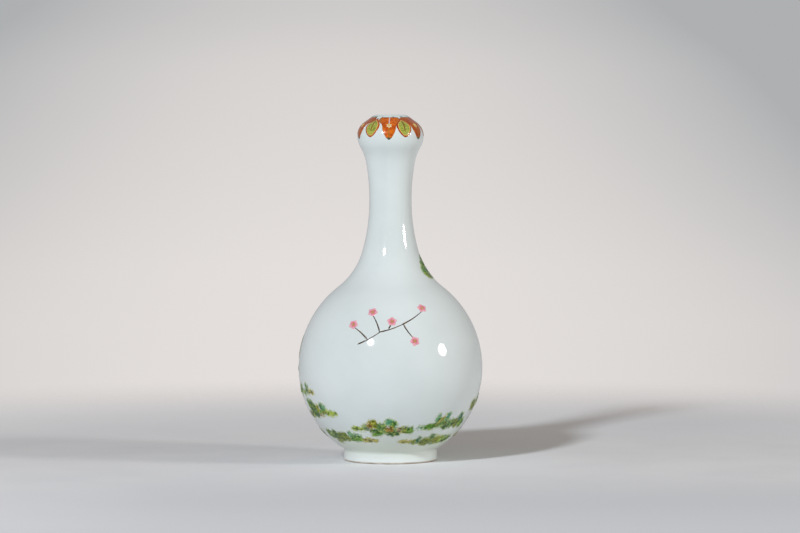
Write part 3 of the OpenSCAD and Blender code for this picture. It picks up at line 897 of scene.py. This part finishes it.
# Five blossoms sit on the twig. Each has five round petals in pink enamel, deeper towards the
# middle, round a ring of yellow stamens.
BLOSSOMS = [(-10, 9), (-21, 2), (1, 4), (14, -7), (18, 11)]
BLOSSOM_PETALS = 5
BLOSSOM_CELLS = (8, 6)
BLOSSOM_PETAL_L = 2.9 * MM
BLOSSOM_PETAL_W = 2.7 * MM
STAMENS = 7
STAMEN_CELLS = (5, 2)
STAMEN_L = 1.3 * MM
STAMEN_W = 0.32 * MM


def blossom_paint(tone, place, across, along):
    rim = tone.node("Attribute", {"attribute_name": "rim"}, out="Fac")
    wash = tone.noise(place, 1.2 * MM, 2)
    body = along.ease(0.2, 2.6).blend(srgb(204, 92, 116), srgb(232, 164, 178))
    body = (wash.ease(0.45, 0.7) * 0.4).blend(body, srgb(236, 198, 204))
    return (rim.ease(0.25, 0.05) * 0.6).blend(body, srgb(184, 70, 92))


def stamen_paint(tone, place, across, along):
    return along.ease(0.9, 1.1).blend(srgb(206, 186, 96), srgb(150, 96, 40))


blossoms = start_enamel()
stamens = start_enamel()
for right, up in BLOSSOMS:
    turn, reach = front_place(right, up)
    start = brush.uniform(0, 2 * math.pi)
    for index in range(BLOSSOM_PETALS):
        aim = start + 2 * math.pi * index / BLOSSOM_PETALS
        lay_enamel(blossoms, turn, reach, aim, BLOSSOM_PETAL_L, rounded(BLOSSOM_PETAL_W), BLOSSOM_CELLS)
    for index in range(STAMENS):
        aim = start + 2 * math.pi * index / STAMENS
        lay_enamel(stamens, turn, reach, aim, STAMEN_L, rounded(STAMEN_W), STAMEN_CELLS, over=ENAMEL)
pink_enamel = enamel_material("pink_enamel", blossom_paint)
close_enamel(blossoms, "blossom_enamel", pink_enamel, "pink_enamel", "blossoms")
yellow_enamel = enamel_material("stamen_enamel", stamen_paint)
close_enamel(stamens, "blossom_stamens", yellow_enamel, "pink_enamel")

# The vase stands on a round pale table top that fades out all round into a plain pale backdrop, as
# paper does that is swept up behind a thing to be photographed.
TABLE_R = 0.62
TABLE_SIDES = 96
FADE_IN = 0.22
FADE_OUT = 0.58

floor_mesh = bmesh.new()
bmesh.ops.create_circle(floor_mesh, cap_ends=True, segments=TABLE_SIDES, radius=TABLE_R)
bmesh.ops.recalc_face_normals(floor_mesh, faces=floor_mesh.faces[:])
table_top, tone = start_material("table_top")
place = tone.node("TexCoord", out="Object")
far = tone.node("VectorMath", {"operation": "LENGTH"}, {0: place}, out="Value")
aside = tone.node("SeparateXYZ", (), {"Vector": place}, out="X")
depth = tone.node("SeparateXYZ", (), {"Vector": place}, out="Y")
paper = tone.noise(place, 60 * MM, 2)
colour = paper.ease(0.3, 0.7).blend(srgb(226, 228, 232), srgb(230, 232, 235))
# Painted light and shade: the table top is paler behind the vase, and darker at the right behind it and at
# the left in front
behind = depth.ease(0.04, 0.36)
shade_behind_right = depth.ease(0.06, 0.26) * aside.ease(0.08, 0.2)
shade_in_front = depth.ease(-0.03, -0.24) * aside.ease(-0.3, -0.08)
colour = behind.blend(colour, srgb(246, 249, 255))
colour = shade_behind_right.blend(colour, srgb(226, 229, 236))
colour = shade_in_front.blend(colour, srgb(209, 212, 217))
surface = tone.node("BsdfDiffuse", (), {"Color": colour})
clear = tone.node("BsdfTransparent")
faded = tone.node("MixShader", (), {0: far.ease(FADE_IN, FADE_OUT), 1: surface, 2: clear})
tone.node("OutputMaterial", (), {"Surface": faded})
floor_data = bpy.data.meshes.new("table_top")
floor_mesh.to_mesh(floor_data)
floor_mesh.free()
floor_data.materials.append(table_top)
floor = bpy.data.objects.new("table_top", floor_data)
bpy.context.scene.collection.objects.link(floor)

# Light comes from a pale room and two soft lamps, one high on the left in front of the vase and
# one at its right. The camera stands a little above the shoulder and looks slightly down.
ROOM_LIGHT = (0.238, 0.216, 0.193, 1)
TABLE_LIGHT = (0.58, 0.58, 0.57, 1)
BELLY = Vector((0, 0, 70 * MM))
LAMP_FAR = 1.8
COOL = (0.97, 1, 1.045)
WARM = (1.03, 1, 0.95)
# Each lamp: name, turn from the front and rise in degrees, radius, watts and tint
LAMPS = [("left_lamp", -27.5, 30, 0.093, 21.7, COOL), ("right_lamp", 71, 16.5, 0.17, 11.2, WARM)]
# Painted light and shade on the backdrop: it is palest a little left of the middle. It dims for each
# unit of rise, from a level at the camera's height, and behind the far edge of the table
PALEST_LEFT = 0.0133
UP_RATE = 5.2
UP_LEVEL = 0.3
EDGE_DIM = 0.15
# It dims with the square of the way aside too, more for each unit of rise, and never less than this
ASIDE_RATE = 817
ASIDE_LEVEL = 88
ASIDE_LEAST = 30
CAMERA_PLACE = (5.52 * MM, -2.4, 0.25)
CAMERA_TILT = 86.717
CAMERA_LENS = 186.86
CAMERA_SENSOR = 36

for name, turn, rise, radius, watts, tint in LAMPS:
    level = facing(math.radians(rise))
    way = Vector((level.x * math.sin(math.radians(turn)), -level.x * math.cos(math.radians(turn)), level.y))
    lamp_data = bpy.data.lights.new(name, "AREA")
    lamp_data.shape = "DISK"
    lamp_data.size = 2 * radius
    lamp_data.energy = watts
    lamp_data.color = tint
    lamp = bpy.data.objects.new(name, lamp_data)
    lamp.location = BELLY + LAMP_FAR * way
    lamp.rotation_euler = way.to_track_quat("Z", "Y").to_euler()
    bpy.context.scene.collection.objects.link(lamp)

world = bpy.data.worlds.new("pale_room")
world.use_nodes = True
world.node_tree.nodes.clear()
bpy.context.scene.world = world
tone = Tone(world.node_tree)
seen = (
    tone.node("LightPath", out="Is Camera Ray")
    | tone.node("LightPath", out="Is Glossy Ray")
    | tone.node("LightPath", out="Is Transmission Ray")
)
way = tone.node("TexCoord", out="Generated")
rise = tone.node("SeparateXYZ", (), {"Vector": way}, out="Z")
aside = tone.node("SeparateXYZ", (), {"Vector": way}, out="X") + PALEST_LEFT
upwards = UP_RATE * rise + UP_LEVEL | 0
behind_edge = EDGE_DIM * rise.ease(-0.012, 0.008)
sidewards = aside * aside * (ASIDE_RATE * rise + ASIDE_LEVEL | ASIDE_LEAST)
# Painted light and shade on the backdrop, which camera and glossy rays see
backdrop = (upwards + behind_edge + sidewards).blend(srgb(228, 223, 220), srgb(174, 176, 178))
room = rise.ease(-0.088, -0.12).blend(backdrop, srgb(193, 195, 198))
light = rise.ease(0.02, -0.1).blend(ROOM_LIGHT, TABLE_LIGHT)
sky = tone.node("Background", (), {"Color": seen.blend(light, room), "Strength": 1})
tone.node("OutputWorld", (), {"Surface": sky})

camera_data = bpy.data.cameras.new("photo_camera")
camera_data.lens = CAMERA_LENS
camera_data.sensor_width = CAMERA_SENSOR
camera = bpy.data.objects.new("photo_camera", camera_data)
camera.location = CAMERA_PLACE
camera.rotation_euler = (math.radians(CAMERA_TILT), 0, 0)
bpy.context.scene.collection.objects.link(camera)
bpy.context.scene.camera = camera
bpy.context.scene.view_settings.view_transform = "Standard"
